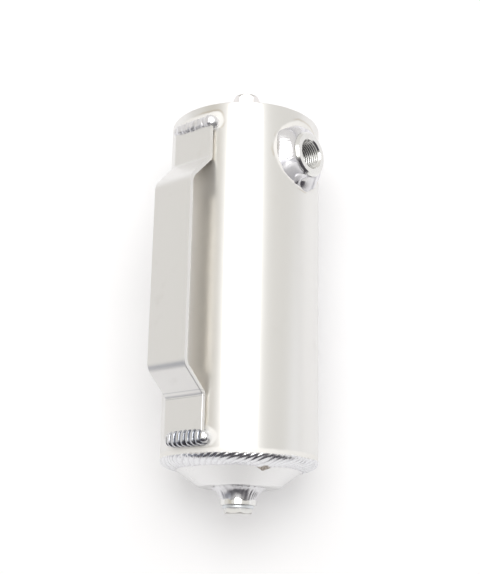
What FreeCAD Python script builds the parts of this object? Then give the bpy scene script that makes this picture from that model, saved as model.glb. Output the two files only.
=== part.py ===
"""Coolant overflow tank: a welded aluminium can with a conical bottom, a threaded inlet near the top,
a plug in each end and a bent strap to fasten it by.

The origin is the centre of the strap's outer face. +Z is up along the tank, +X runs from the strap
to the tank's axis, and the inlet points along -Y. All lengths are in millimetres.
"""
import FreeCAD, Part
import math
import os
import re
import Sketcher
from FreeCAD import Placement, Rotation, Vector

SIZES = {
    # The tube and its two ends
    "tube_diameter": 88.9,
    "tube_length": 200.0,
    "tube_wall": 1.65,
    "cone_flat_diameter": 45.6,
    "cone_depth": 14.45,
    "cone_wall": 2.0,
    "cone_knuckle": 3.0,
    "cap_recess": 3.2,
    "cap_thickness": 2.5,
    "cap_clearance": 0.1,
    # The inlet bung in the side, with a tapping hole for a 3/8 inch pipe thread
    "inlet_drop": 26.3,
    "inlet_bung_diameter": 26.4,
    "inlet_bung_reach": 5.6,
    "inlet_bung_depth": 8.0,
    "inlet_bore_diameter": 14.8,
    "inlet_mouth_chamfer": 1.05,
    # The two bungs that take a plug
    "plug_bung_diameter": 20.6,
    "plug_bung_inside": 1.0,
    "plug_bore_diameter": 9.6,
    "plug_mouth_chamfer": 0.5,
    "drain_bung_reach": 9.55,
    "vent_bung_reach": 15.5,
    "bung_clearance": 0.1,
    "bung_edge": 0.5,
    # The plugs and their washers
    "plug_across_flats": 14.3,
    "plug_clock": 10.0,
    "plug_shank_length": 10.0,
    "plug_shank_chamfer": 1.0,
    "plug_thread_clearance": 0.06,
    "plug_face_diameter": 13.6,
    "plug_face_slope": 30.0,
    "drain_hex_height": 3.1,
    "vent_hex_height": 9.5,
    "vent_hole_diameter": 3.0,
    "washer_diameter": 17.4,
    "washer_thickness": 1.6,
    "washer_clearance": 0.3,
    # The strap
    "strap_width": 27.4,
    "strap_thickness": 2.3,
    "strap_stand_off": 15.0,
    "strap_web_length": 104.4,
    "strap_end_inset": 10.3,
    "strap_drop": 1.6,
    "strap_leg_angle": 45.0,
    "strap_bend_radius": 1.5,
    "strap_gap": 0.05,
    # The welds
    "seam_drop": 9.0,
    "seam_shoulder_inset": 1.85,
    "seam_shoulder_drop": 2.8,
    "seam_shoulder_sag": 0.45,
    "seam_bulge": 0.25,
    "cap_weld_leg": 2.8,
    "cap_weld_bulge": 0.5,
    "plug_bung_weld_leg": 4.2,
    "plug_bung_weld_height": 6.6,
    "plug_bung_weld_hollow": 1.1,
    "inlet_weld_leg": 6.0,
    "inlet_weld_height": 2.2,
    "inlet_weld_bulge": 0.7,
    "strap_weld_radius": 3.6,
    "strap_weld_inset": 1.0,
}

doc = FreeCAD.newDocument("coolant_overflow_tank")
sheet = doc.addObject("Spreadsheet::Sheet", "sizes")
for row, (alias, value) in enumerate(SIZES.items(), start=1):
    sheet.set(f"A{row}", alias)
    sheet.set(f"B{row}", str(value))
    sheet.setAlias(f"B{row}", alias)
doc.recompute()

ALIAS = re.compile(r"\b(" + "|".join(SIZES) + r")\b")


def tied(text):
    """An expression in the names of the sheet's cells, as a feature takes it."""
    return ALIAS.sub(r"sizes.\1", text)


def worked_out(text):
    return float(sheet.evalExpression(tied(text)))


def place(sub_part, x="0", y="0", z="0", turn=None):
    """Tie a sub-part's place to the sheet, turned first where it needs it."""
    if turn:
        sub_part.Placement = Placement(Vector(), turn)
    for axis, text in zip("xyz", (x, y, z)):
        sub_part.setExpression(f"Placement.Base.{axis}", tied(text))


# Heights and radii that several pieces share, in the tank's own frame: z is 0 at the tube's lower rim
TUBE_RADIUS = "tube_diameter / 2"
TUBE_INSIDE = "(tube_diameter / 2 - tube_wall)"
CAP_TOP = "(tube_length - cap_recess)"
CAP_UNDERSIDE = "(tube_length - cap_recess - cap_thickness)"
CONE_SLOPE = "atan(cone_depth / (tube_diameter / 2 - tube_wall - cone_flat_diameter / 2))"
INLET_HEIGHT = "(tube_length - inlet_drop)"
DRAIN_FACE = "(0 - cone_depth - drain_bung_reach)"
VENT_FACE = "(tube_length - cap_recess + vent_bung_reach)"

# Where the tank's frame lies from the strap's
AXIS_X = "strap_thickness + strap_stand_off + strap_gap + tube_diameter / 2"
RIM_Z = "(strap_drop - tube_length / 2)"


def sag_radius(start, end, sag):
    """The radius of an arc from start to end that stands off its chord by sag."""
    across = f"(({end[0]}) - ({start[0]}))"
    along = f"(({end[1]}) - ({start[1]}))"
    return f"({across} ^ 2 + {along} ^ 2) / (8 * ({sag})) + ({sag}) / 2"


def sketch_on(body, role, name):
    sketch = body.newObject("Sketcher::SketchObject", name)
    plane = next(feature for feature in body.Origin.OriginFeatures if feature.Role == role)
    sketch.AttachmentSupport = [(plane, "")]
    sketch.MapMode = "FlatFace"
    return sketch


def tie(sketch, kind, elements, text):
    """Add a dimension to a sketch and tie it to the sheet."""
    index = sketch.addConstraint(Sketcher.Constraint(kind, *elements, worked_out(text)))
    sketch.setExpression(f"Constraints[{index}]", tied(text))


def arc_between(start, end, radius, left):
    """The shorter arc of a radius from start to end, curving to the left or to the right of the way.

    Arcs run anticlockwise, so one that curves right is drawn from its far end.
    """
    chord = end - start
    middle = (start + end) * 0.5
    rise = math.sqrt(max(radius ** 2 - chord.Length ** 2 / 4, 0))
    across = Vector(-chord.y, chord.x, 0).normalize()
    centre = middle + across * (rise if left else -rise)
    first, last = (start, end) if left else (end, start)
    angles = [math.atan2(point.y - centre.y, point.x - centre.x) for point in (first, last)]
    return Part.ArcOfCircle(Part.Circle(centre, Vector(0, 0, 1), radius), *angles)


def draw(sketch, corners, arcs=None, closed=True):
    """Draw an outline through corners, each a pair of expressions.

    arcs gives, for the edge after a corner, the radius of its arc and whether it turns left.
    """
    arcs = arcs or {}
    points = [Vector(worked_out(x), worked_out(y), 0) for x, y in corners]
    edges = len(corners) if closed else len(corners) - 1
    starts = {}
    ends = {}
    for edge in range(edges):
        start = points[edge]
        end = points[(edge + 1) % len(points)]
        if edge in arcs:
            radius, left = arcs[edge]
            index = sketch.addGeometry(arc_between(start, end, worked_out(radius), left), False)
        else:
            left = True
            index = sketch.addGeometry(Part.LineSegment(start, end), False)
        starts[edge] = (index, 1 if left else 2)
        ends[edge] = (index, 2 if left else 1)
    for edge in range(edges if closed else edges - 1):
        following = starts[(edge + 1) % edges]
        sketch.addConstraint(Sketcher.Constraint("Coincident", *ends[edge], *following))
    for corner, (x, y) in enumerate(corners):
        vertex = starts.get(corner) or ends[corner - 1]
        tie(sketch, "DistanceX", (-1, 1, *vertex), x)
        tie(sketch, "DistanceY", (-1, 1, *vertex), y)
    for edge, (radius, left) in arcs.items():
        tie(sketch, "Radius", (starts[edge][0],), radius)


def new_body(name):
    body = doc.addObject("PartDesign::Body", name)
    body.Label = name
    return body


def turn_outline(body, corners, arcs=None, plane="XZ_Plane", name="turned"):
    """Revolve an outline of radii and heights about the sketch's upright axis."""
    outline = sketch_on(body, plane, name + "_outline")
    draw(outline, corners, arcs)
    turned = body.newObject("PartDesign::Revolution", name)
    turned.Profile = outline
    turned.ReferenceAxis = (outline, ["V_Axis"])
    turned.Angle = 360
    return turned


def turned_on_tank(name, corners, arcs=None):
    body = new_body(name)
    turn_outline(body, corners, arcs)
    place(body, x=AXIS_X, z=RIM_Z)
    return body


def tank_tube():
    """The rolled tube, with a round hole that the inlet bung passes through."""
    body = turned_on_tank("tank_tube", [
        (TUBE_INSIDE, "0"),
        (TUBE_RADIUS, "0"),
        (TUBE_RADIUS, "tube_length"),
        (TUBE_INSIDE, "tube_length"),
    ])
    doc.recompute()
    whole = body.Shape.Volume
    circle = sketch_on(body, "XZ_Plane", "inlet_hole_outline")
    radius = "inlet_bung_diameter / 2 + bung_clearance"
    centre = Vector(0, worked_out(INLET_HEIGHT), 0)
    circle.addGeometry(Part.Circle(centre, Vector(0, 0, 1), worked_out(radius)), False)
    circle.addConstraint(Sketcher.Constraint("PointOnObject", 0, 3, -2))
    tie(circle, "DistanceY", (-1, 1, 0, 3), INLET_HEIGHT)
    tie(circle, "Radius", (0,), radius)
    hole = body.newObject("PartDesign::Pocket", "inlet_hole")
    hole.Profile = circle
    hole.setExpression("Length", tied("tube_diameter"))
    hole.Reversed = True
    doc.recompute()
    if body.Shape.Volume >= whole:
        raise RuntimeError("the inlet hole cut nothing")
    return body


def top_cap():
    """The flat disc that closes the tube a little below its rim, with a hole for the vent bung."""
    hole = "plug_bung_diameter / 2 + bung_clearance"
    edge = f"{TUBE_INSIDE} - cap_clearance"
    return turned_on_tank("top_cap", [
        (hole, CAP_UNDERSIDE),
        (edge, CAP_UNDERSIDE),
        (edge, CAP_TOP),
        (hole, CAP_TOP),
    ])


def bottom_cone():
    """The pressed end: a shallow cone of sheet with a small flat in its middle.

    Its rim meets the inner edge of the tube's end, so that the two make an open corner for the weld.
    The bend between cone and flat has the knuckle radius outside and the same centre inside.
    """
    hole = "plug_bung_diameter / 2 + bung_clearance"
    flat = "0 - cone_depth"
    inner_flat = "cone_wall - cone_depth"
    bend = f"tan({CONE_SLOPE} / 2)"
    outer_run = f"cone_knuckle * {bend}"
    inner_corner = f"cone_flat_diameter / 2 - cone_wall * {bend}"
    inner_run = f"(cone_knuckle - cone_wall) * {bend}"

    def up_the_cone(corner, height, run):
        return f"{corner} + {run} * cos({CONE_SLOPE})", f"{height} + {run} * sin({CONE_SLOPE})"

    return turned_on_tank("bottom_cone", [
        (hole, flat),
        (f"cone_flat_diameter / 2 - {outer_run}", flat),
        up_the_cone("cone_flat_diameter / 2", flat, outer_run),
        (TUBE_INSIDE, "0"),
        (f"{TUBE_INSIDE} - cone_wall / sin({CONE_SLOPE})", "0"),
        up_the_cone(inner_corner, inner_flat, inner_run),
        (f"{inner_corner} - {inner_run}", inner_flat),
        (hole, inner_flat),
    ], {1: ("cone_knuckle", True), 5: ("cone_knuckle - cone_wall", False)})


def bung_outline(radius, bore, mouth_chamfer, inner_end, face, outward):
    """Half a section through a bung: its bore, its mouth's chamfer and its broken outer edge.

    outward is + or - as the face lies above or below the inner end.
    """
    inward = "-" if outward == "+" else "+"
    return [
        (bore, inner_end),
        (radius, inner_end),
        (radius, f"{face} {inward} bung_edge"),
        (f"{radius} - bung_edge", face),
        (f"{bore} + {mouth_chamfer}", face),
        (bore, f"{face} {inward} {mouth_chamfer}"),
    ]


def inlet_bung():
    """The threaded bung in the tube's side. Its thread's bore is plain here."""
    body = new_body("inlet_bung")
    outline = bung_outline("inlet_bung_diameter / 2", "inlet_bore_diameter / 2", "inlet_mouth_chamfer",
                           f"inlet_bung_depth - {TUBE_RADIUS}",
                           f"0 - {TUBE_RADIUS} - inlet_bung_reach", "-")
    turn_outline(body, outline, plane="XY_Plane")
    place(body, x=AXIS_X, z=f"{RIM_Z} + {INLET_HEIGHT}")
    return body


def plug_bung(name, inner_end, face, outward):
    return turned_on_tank(name, bung_outline("plug_bung_diameter / 2", "plug_bore_diameter / 2",
                                             "plug_mouth_chamfer", inner_end, face, outward))


def bottom_seam_weld():
    """The bead that fills the corner between the tube's end and the cone.

    It starts flush with the outside of the tube, turns in over a rounded shoulder and runs out on
    the cone.
    """
    corner = (TUBE_RADIUS, "0")
    shoulder = (f"{TUBE_RADIUS} - seam_shoulder_inset", "0 - seam_shoulder_drop")
    toe = (f"{TUBE_INSIDE} - seam_drop * cos({CONE_SLOPE})", f"0 - seam_drop * sin({CONE_SLOPE})")
    return turned_on_tank("bottom_seam_weld", [
        toe,
        shoulder,
        corner,
        (TUBE_INSIDE, "0"),
    ], {0: (sag_radius(toe, shoulder, "seam_bulge"), True),
        1: (sag_radius(shoulder, corner, "seam_shoulder_sag"), True)})


def top_seam_weld():
    """The bead in the corner between the cap and the tube's rim."""
    foot = (f"{TUBE_INSIDE} - cap_weld_leg", CAP_TOP)
    head = (TUBE_INSIDE, f"{CAP_TOP} + cap_weld_leg")
    return turned_on_tank("top_seam_weld", [head, foot, (TUBE_INSIDE, CAP_TOP)],
                          {0: (sag_radius(foot, head, "cap_weld_bulge"), True)})


def plug_bung_weld(name, seat, outward):
    """The hollow fillet round a plug's bung, on the flat that it stands on."""
    wall = "plug_bung_diameter / 2"
    toe = (f"{wall} + plug_bung_weld_leg", seat)
    top = (wall, f"{seat} {outward} plug_bung_weld_height")
    return turned_on_tank(name, [toe, top, (wall, seat)],
                          {0: (sag_radius(toe, top, "plug_bung_weld_hollow"), outward == "-")})


def inlet_bung_weld():
    """The fillet round the inlet bung, which rides up and down over the round of the tube.

    Sections set round the bung's axis are lofted into a ring that reaches a little way into the
    bung and the tube, and both are then cut out of it, so that the bead sits close on them.
    """
    stations = 24
    overlap = 1.0
    tube_radius = worked_out(TUBE_RADIUS)
    bung_radius = worked_out("inlet_bung_diameter / 2")
    toe_radius = bung_radius + worked_out("inlet_weld_leg")
    top = -tube_radius - worked_out("inlet_weld_height")
    bulge = worked_out("inlet_weld_bulge")

    def tube_face(x):
        return -math.sqrt(tube_radius ** 2 - x ** 2)

    sections = []
    for station in range(stations):
        angle = 2 * math.pi * station / stations
        outward = Vector(math.cos(angle), 0, math.sin(angle))
        toe_face = tube_face(toe_radius * outward.x)
        inner_radius = bung_radius - overlap
        crown = outward * inner_radius + Vector(0, top, 0)
        toe = outward * toe_radius + Vector(0, toe_face, 0)
        toe_foot = toe + Vector(0, overlap, 0)
        crown_foot = outward * inner_radius + Vector(0, tube_face(bung_radius) + overlap, 0)
        slope = (toe - crown).normalize()
        proud = slope.cross(outward.cross(Vector(0, 1, 0)))
        middle = (crown + toe) * 0.5 + proud * (bulge if proud.y < 0 else -bulge)
        sections.append(Part.Wire([
            Part.Arc(crown, middle, toe).toShape(),
            Part.makeLine(toe, toe_foot),
            Part.makeLine(toe_foot, crown_foot),
            Part.makeLine(crown_foot, crown),
        ]))
    ring = Part.makeLoft(sections, True, False, True)
    reach = worked_out("tube_length")
    tube = Part.makeCylinder(tube_radius, reach, Vector(0, 0, -reach / 2), Vector(0, 0, 1))
    bung = Part.makeCylinder(bung_radius, reach, Vector(0, 0, 0), Vector(0, -1, 0))
    weld = doc.addObject("Part::Feature", "inlet_bung_weld")
    weld.Label = "inlet_bung_weld"
    weld.Shape = ring.cut(tube).cut(bung)
    place(weld, x=AXIS_X, z=f"{RIM_Z} + {INLET_HEIGHT}")
    return weld


STRAP_MIDDLE = "strap_thickness / 2"
STRAP_TAB_X = "(strap_stand_off + strap_thickness / 2)"
STRAP_WEB_CORNER = "strap_web_length / 2"
STRAP_TAB_CORNER = "(strap_web_length / 2 + strap_stand_off / tan(strap_leg_angle * 1 deg))"
STRAP_END = "(tube_length / 2 - strap_end_inset)"
STRAP_TAB_LENGTH = f"({STRAP_END} - {STRAP_TAB_CORNER})"


def mounting_bracket():
    """The hat-shaped strap: a flat bar swept along its bent middle line, from the upper end down."""
    body = new_body("mounting_bracket")
    bend = f"(strap_bend_radius + {STRAP_MIDDLE})"
    run = f"{bend} * tan(strap_leg_angle * 0.5 deg)"
    out = f"{run} * sin(strap_leg_angle * 1 deg)"
    along = f"{run} * cos(strap_leg_angle * 1 deg)"
    upper_half = [
        (STRAP_TAB_X, STRAP_END),
        (STRAP_TAB_X, f"{STRAP_TAB_CORNER} + {run}"),
        (f"{STRAP_TAB_X} - {out}", f"{STRAP_TAB_CORNER} - {along}"),
        (f"{STRAP_MIDDLE} + {out}", f"{STRAP_WEB_CORNER} + {along}"),
        (STRAP_MIDDLE, f"{STRAP_WEB_CORNER} - {run}"),
    ]
    lower_half = [(x, f"0 - ({z})") for x, z in reversed(upper_half)]
    path = sketch_on(body, "XZ_Plane", "strap_path")
    draw(path, upper_half + lower_half,
         {1: (bend, False), 3: (bend, True), 5: (bend, True), 7: (bend, False)}, closed=False)
    section = sketch_on(body, "XY_Plane", "strap_section")
    section.setExpression("AttachmentOffset.Base.z", tied(STRAP_END))
    draw(section, [
        ("strap_stand_off", "0 - strap_width / 2"),
        ("strap_stand_off + strap_thickness", "0 - strap_width / 2"),
        ("strap_stand_off + strap_thickness", "strap_width / 2"),
        ("strap_stand_off", "strap_width / 2"),
    ])
    strap = body.newObject("PartDesign::AdditivePipe", "strap")
    strap.Profile = section
    strap.Spine = path
    place(body)
    return body


def bracket_weld(name, sign):
    """The bead across one end of the strap: a round-ended lump cut to the strap and to the tube.

    sign is 1 at the upper end and -1 at the lower.
    """
    axis_x = "strap_stand_off + strap_thickness"
    end_z = f"{sign} * {STRAP_END}"
    half_run = "(strap_width / 2 - strap_weld_inset)"
    run = doc.addObject("Part::Cylinder", name + "_run")
    run.setExpression("Radius", tied("strap_weld_radius"))
    run.setExpression("Height", tied(f"2 * {half_run}"))
    place(run, axis_x, half_run, end_z, Rotation(Vector(1, 0, 0), 90))
    lumps = [run]
    for side in ("-1", "1"):
        ball = doc.addObject("Part::Sphere", name + "_end")
        ball.setExpression("Radius", tied("strap_weld_radius"))
        place(ball, axis_x, f"{side} * {half_run}", end_z)
        lumps.append(ball)
    bead = doc.addObject("Part::MultiFuse", name + "_bead")
    bead.Shapes = lumps
    tube = doc.addObject("Part::Cylinder", name + "_tube")
    tube.setExpression("Radius", tied(TUBE_RADIUS))
    tube.setExpression("Height", tied("tube_length"))
    place(tube, x=AXIS_X, z=RIM_Z)
    tab = doc.addObject("Part::Box", name + "_tab")
    tab.setExpression("Length", tied("strap_thickness"))
    tab.setExpression("Width", tied("strap_width"))
    tab.setExpression("Height", tied(STRAP_TAB_LENGTH))
    tab_low = STRAP_TAB_CORNER if sign > 0 else f"0 - {STRAP_END}"
    place(tab, "strap_stand_off", "0 - strap_width / 2", tab_low)
    on_tube = doc.addObject("Part::Cut", name + "_on_tube")
    on_tube.Base = bead
    on_tube.Tool = tube
    weld = doc.addObject("Part::Cut", name)
    weld.Label = name
    weld.Base = on_tube
    weld.Tool = tab
    return weld


def hexagon():
    """The corners of the plugs' hexagon, from its width across flats and the way a tight plug points."""
    corner = "plug_across_flats / sqrt(3)"
    turns = [f"(plug_clock * 1 deg + {60 * index} deg)" for index in range(6)]
    return [(f"{corner} * cos{turn}", f"{corner} * sin{turn}") for turn in turns]


def plug(name, hex_height, hole_radius, face, turn):
    """A hex-headed plug, drawn from the bung's face outwards: shank, head and the head's turned face."""
    body = new_body(name)
    shank_radius = "plug_bore_diameter / 2 - plug_thread_clearance"
    tip = "0 - plug_shank_length"
    turn_outline(body, [
        (hole_radius, tip),
        (f"{shank_radius} - plug_shank_chamfer", tip),
        (shank_radius, f"{tip} + plug_shank_chamfer"),
        (shank_radius, f"washer_thickness + {hex_height} / 2"),
        (hole_radius, f"washer_thickness + {hex_height} / 2"),
    ], name="shank")
    head_outline = sketch_on(body, "XY_Plane", "head_outline")
    head_outline.setExpression("AttachmentOffset.Base.z", tied("washer_thickness"))
    draw(head_outline, hexagon())
    head = body.newObject("PartDesign::Pad", "head")
    head.Profile = head_outline
    head.setExpression("Length", tied(hex_height))
    doc.recompute()
    plain = body.Shape.Volume
    end = f"(washer_thickness + {hex_height})"
    outside = "plug_across_flats"
    fall = f"({outside} - plug_face_diameter / 2) * tan(plug_face_slope * 1 deg)"
    corners = sketch_on(body, "XZ_Plane", "face_outline")
    draw(corners, [("plug_face_diameter / 2", end), (outside, f"{end} - {fall}"), (outside, end)])
    turned_face = body.newObject("PartDesign::Groove", "turned_face")
    turned_face.Profile = corners
    turned_face.ReferenceAxis = (corners, ["V_Axis"])
    turned_face.Angle = 360
    if hole_radius != "0":
        circle = sketch_on(body, "XY_Plane", "hole_outline")
        circle.setExpression("AttachmentOffset.Base.z", tied(end))
        circle.addGeometry(Part.Circle(Vector(), Vector(0, 0, 1), worked_out(hole_radius)), False)
        circle.addConstraint(Sketcher.Constraint("Coincident", 0, 3, -1, 1))
        tie(circle, "Radius", (0,), hole_radius)
        hole = body.newObject("PartDesign::Pocket", "hole")
        hole.Profile = circle
        hole.setExpression("Length", tied(hex_height))
    doc.recompute()
    if body.Shape.Volume >= plain:
        raise RuntimeError(name + ": the head's face was not turned")
    place(body, x=AXIS_X, z=f"{RIM_Z} + {face}", turn=turn)
    return body


def washer(name, face, turn):
    """The flat sealing washer between a bung's face and its plug's head."""
    inside = "plug_bore_diameter / 2 - plug_thread_clearance + washer_clearance"
    body = new_body(name)
    turn_outline(body, [
        (inside, "0"),
        ("washer_diameter / 2", "0"),
        ("washer_diameter / 2", "washer_thickness"),
        (inside, "washer_thickness"),
    ])
    place(body, x=AXIS_X, z=f"{RIM_Z} + {face}", turn=turn)
    return body


UPWARD = Rotation()
DOWNWARD = Rotation(Vector(1, 0, 0), 180)

sub_parts = [
    tank_tube(),
    top_cap(),
    bottom_cone(),
    inlet_bung(),
    plug_bung("drain_bung", "cone_wall + plug_bung_inside - cone_depth", DRAIN_FACE, "-"),
    plug_bung("vent_bung", f"{CAP_UNDERSIDE} - plug_bung_inside", VENT_FACE, "+"),
    bottom_seam_weld(),
    top_seam_weld(),
    plug_bung_weld("drain_bung_weld", "0 - cone_depth", "-"),
    plug_bung_weld("vent_bung_weld", CAP_TOP, "+"),
    inlet_bung_weld(),
    mounting_bracket(),
    bracket_weld("bracket_upper_weld", 1),
    bracket_weld("bracket_lower_weld", -1),
    plug("drain_plug", "drain_hex_height", "0", DRAIN_FACE, DOWNWARD),
    plug("vent_plug", "vent_hex_height", "vent_hole_diameter / 2", VENT_FACE, UPWARD),
    washer("drain_plug_washer", DRAIN_FACE, DOWNWARD),
    washer("vent_plug_washer", VENT_FACE, UPWARD),
]

doc.recompute()
for item in doc.Objects:
    if "Invalid" in item.State or "Error" in item.State:
        raise RuntimeError(f"{item.Label} did not build: {item.State}")
for sub_part in sub_parts:
    if sub_part.Shape.isNull() or not sub_part.Shape.isValid():
        raise RuntimeError(f"{sub_part.Label} has no valid shape")

os.makedirs("parts", exist_ok=True)
for sub_part in sub_parts:
    sub_part.Shape.exportStep(f"parts/{sub_part.Label}.step")
    print(sub_part.Label, len(sub_part.Shape.Solids), round(sub_part.Shape.Volume, 1))
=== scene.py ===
import math

import bmesh
import bpy
from mathutils import Matrix, Vector, noise


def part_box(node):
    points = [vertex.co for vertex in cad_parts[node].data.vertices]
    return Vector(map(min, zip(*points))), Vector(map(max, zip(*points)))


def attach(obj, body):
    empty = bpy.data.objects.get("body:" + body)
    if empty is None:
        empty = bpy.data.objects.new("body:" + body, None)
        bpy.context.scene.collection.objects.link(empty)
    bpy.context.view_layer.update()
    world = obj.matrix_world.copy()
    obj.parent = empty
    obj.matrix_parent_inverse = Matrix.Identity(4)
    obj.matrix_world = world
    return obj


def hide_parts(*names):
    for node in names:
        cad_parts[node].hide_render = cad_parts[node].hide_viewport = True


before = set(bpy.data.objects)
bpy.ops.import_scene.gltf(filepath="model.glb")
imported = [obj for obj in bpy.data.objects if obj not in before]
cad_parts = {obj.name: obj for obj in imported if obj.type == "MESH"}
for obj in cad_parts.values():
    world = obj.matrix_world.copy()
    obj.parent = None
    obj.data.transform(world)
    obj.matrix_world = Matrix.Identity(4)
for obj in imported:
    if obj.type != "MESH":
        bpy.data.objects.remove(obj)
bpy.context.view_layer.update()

# The tank's tube: drawn aluminium with a satin skin, cut square at both ends, with a round hole in
# its side for the inlet bung. The heat of each weld leaves a pale frosted border with a brown edge.
MM = 0.001
tube_low, tube_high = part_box("tank_tube")
axis_x = (tube_low.x + tube_high.x) / 2
tube_radius = (tube_high.x - tube_low.x) / 2
tube_wall = 1.65 * MM
tube_segments = 256
rim_bevel = 0.45 * MM
inlet_low, inlet_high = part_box("inlet_bung")
inlet_z = (inlet_low.z + inlet_high.z) / 2
inlet_radius = (inlet_high.z - inlet_low.z) / 2
bung_clearance = 0.1 * MM
round_segments = 96
inlet_toe = 19.0 * MM
inlet_weld_z = inlet_z - 1.0 * MM
strap_low, strap_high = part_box("mounting_bracket")
strap_weld_low, strap_weld_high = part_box("bracket_lower_weld")
strap_weld_reach = (strap_weld_high.z - strap_weld_low.z) / 2
strap_weld_run = strap_weld_high.y - strap_weld_reach
seam_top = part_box("bottom_seam_weld")[1].z


def stop_editing():
    if bpy.context.mode != "OBJECT":
        bpy.ops.object.mode_set(mode="OBJECT")


def add(primitive, name, **settings):
    """Add a primitive as a new piece with its place in its mesh, and start to edit it."""
    stop_editing()
    bpy.ops.object.select_all(action="DESELECT")
    primitive(**settings)
    piece = bpy.context.object
    piece.name = name
    piece.data.name = name
    bpy.ops.object.transform_apply(location=True, rotation=True, scale=True)
    bpy.ops.object.mode_set(mode="EDIT")
    return piece


def pick(piece, kind, test):
    """Select the vertices, edges or faces that pass a test, and nothing else."""
    bpy.ops.mesh.select_mode(type=kind)
    bpy.ops.mesh.select_all(action="DESELECT")
    shape = bmesh.from_edit_mesh(piece.data)
    for item in {"VERT": shape.verts, "EDGE": shape.edges, "FACE": shape.faces}[kind]:
        item.select_set(bool(test(item)))
    shape.select_flush_mode()
    bmesh.update_edit_mesh(piece.data)


def middle(item):
    """The middle of an edge or a face."""
    return sum((vertex.co for vertex in item.verts), Vector()) / len(item.verts)


def bored(name, radius, bore, start, end, segments):
    """A round bar from start to end, bored right through and left in edit mode."""
    way = end - start
    turn = way.to_track_quat("Z", "Y").to_euler()
    piece = add(bpy.ops.mesh.primitive_cylinder_add, name, vertices=segments, radius=radius,
                depth=way.length, location=(start + end) / 2, rotation=turn)
    pick(piece, "FACE", lambda face: len(face.verts) == segments)
    bpy.ops.mesh.inset(thickness=radius - bore, use_individual=True)
    bpy.ops.mesh.bridge_edge_loops()
    return piece


def round_edges(piece, width, test, segments=3):
    """Break the edges that pass a test."""
    pick(piece, "EDGE", test)
    bpy.ops.mesh.bevel(offset=width, segments=segments, affect="EDGES")


def sharp_ring(edge):
    """Whether an edge lies where two faces meet at a corner."""
    return len(edge.link_faces) == 2 and edge.calc_face_angle() > math.radians(40)


def apply_modifier(piece, kind, **settings):
    stop_editing()
    modifier = piece.modifiers.new(kind.lower(), kind)
    for name, value in settings.items():
        setattr(modifier, name, value)
    bpy.context.view_layer.objects.active = piece
    bpy.ops.object.modifier_apply(modifier=modifier.name)


def cut(piece, cutter, operation="DIFFERENCE"):
    """Cut a piece with another shape, or keep only what they share. The other shape goes."""
    stop_editing()
    apply_modifier(piece, "BOOLEAN", operation=operation, object=cutter, solver="EXACT")
    bpy.data.objects.remove(cutter, do_unlink=True)


def dress(piece, finish, body, node, smooth=30):
    """Give a piece its finish and its body, and let it stand for its solid."""
    stop_editing()
    bpy.ops.object.select_all(action="DESELECT")
    piece.select_set(True)
    bpy.context.view_layer.objects.active = piece
    bpy.ops.object.shade_smooth_by_angle(angle=math.radians(smooth))
    apply_modifier(piece, "WEIGHTED_NORMAL", keep_sharp=True)
    piece.data.materials.clear()
    piece.data.materials.append(finish)
    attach(piece, body)
    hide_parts(node)


class Shade:
    """A socket in a finish's nodes. Arithmetic on it adds Math nodes."""

    def __init__(self, tree, socket):
        self.tree = tree
        self.socket = socket

    def node(self, kind, settings, sockets, output=0):
        """Add any other node: its settings first, then its sockets by their identifiers."""
        made = self.tree.nodes.new(kind)
        for name, value in settings.items():
            setattr(made, name, value)
        for socket in made.inputs:
            if socket.identifier in sockets:
                value = sockets[socket.identifier]
                if isinstance(value, Shade):
                    self.tree.links.new(value.socket, socket)
                else:
                    socket.default_value = value
        return Shade(self.tree, made.outputs[output])

    def output(self, index):
        return Shade(self.tree, self.socket.node.outputs[index])

    def feed(self, shader, name):
        self.tree.links.new(self.socket, shader.inputs[name])

    def maths(self, operation, *values):
        names = ("Value", "Value_001", "Value_002")
        return self.node("ShaderNodeMath", {"operation": operation}, dict(zip(names, values)))

    def __add__(self, other):
        return self.maths("ADD", self, other)

    def __sub__(self, other):
        return self.maths("SUBTRACT", self, other)

    def __rsub__(self, other):
        return self.maths("SUBTRACT", other, self)

    def __mul__(self, other):
        return self.maths("MULTIPLY", self, other)

    __radd__ = __add__
    __rmul__ = __mul__

    def apart(self):
        """The three parts of a vector."""
        first = self.node("ShaderNodeSeparateXYZ", {}, {"Vector": self})
        return first, first.output(1), first.output(2)

    def step(self, low, high):
        """A smooth rise from 0 at low to 1 at high."""
        return self.node("ShaderNodeMapRange", {"interpolation_type": "SMOOTHSTEP"},
                         {"Value": self, "From Min": low, "From Max": high})

    def speckle(self, scale, detail=2.0, stretch=(1, 1, 1)):
        """Noise over the place, from 0 to 1, with so many lumps to the metre."""
        stretched = self.node("ShaderNodeMapping", {}, {"Vector": self, "Scale": stretch})
        return self.node("ShaderNodeTexNoise", {},
                         {"Vector": stretched, "Scale": scale, "Detail": detail})

    def blend(self, first, second):
        """A colour between two, by this share of the second."""
        return self.node("ShaderNodeMix", {"data_type": "RGBA"},
                         {"Factor_Float": self, "A_Color": first, "B_Color": second}, output=2)

    def bump(self, strength, distance):
        return self.node("ShaderNodeBump", {},
                         {"Strength": strength, "Distance": distance, "Height": self})


def length_of(first, second):
    """How far a point is from where both of its two parts are nothing."""
    square = first.maths("POWER", first, 2) + second.maths("POWER", second, 2)
    return square.maths("SQRT", square)


def colour(red, green, blue):
    return (red, green, blue, 1.0)


def new_finish(name):
    """A new metal finish: the material, its shader and the place on the piece."""
    finish = bpy.data.materials.new(name)
    finish.use_nodes = True
    tree = finish.node_tree
    shader = tree.nodes["Principled BSDF"]
    shader.inputs["Metallic"].default_value = 1.0
    place = Shade(tree, tree.nodes.new("ShaderNodeTexCoord").outputs["Object"])
    return finish, shader, place


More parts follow.
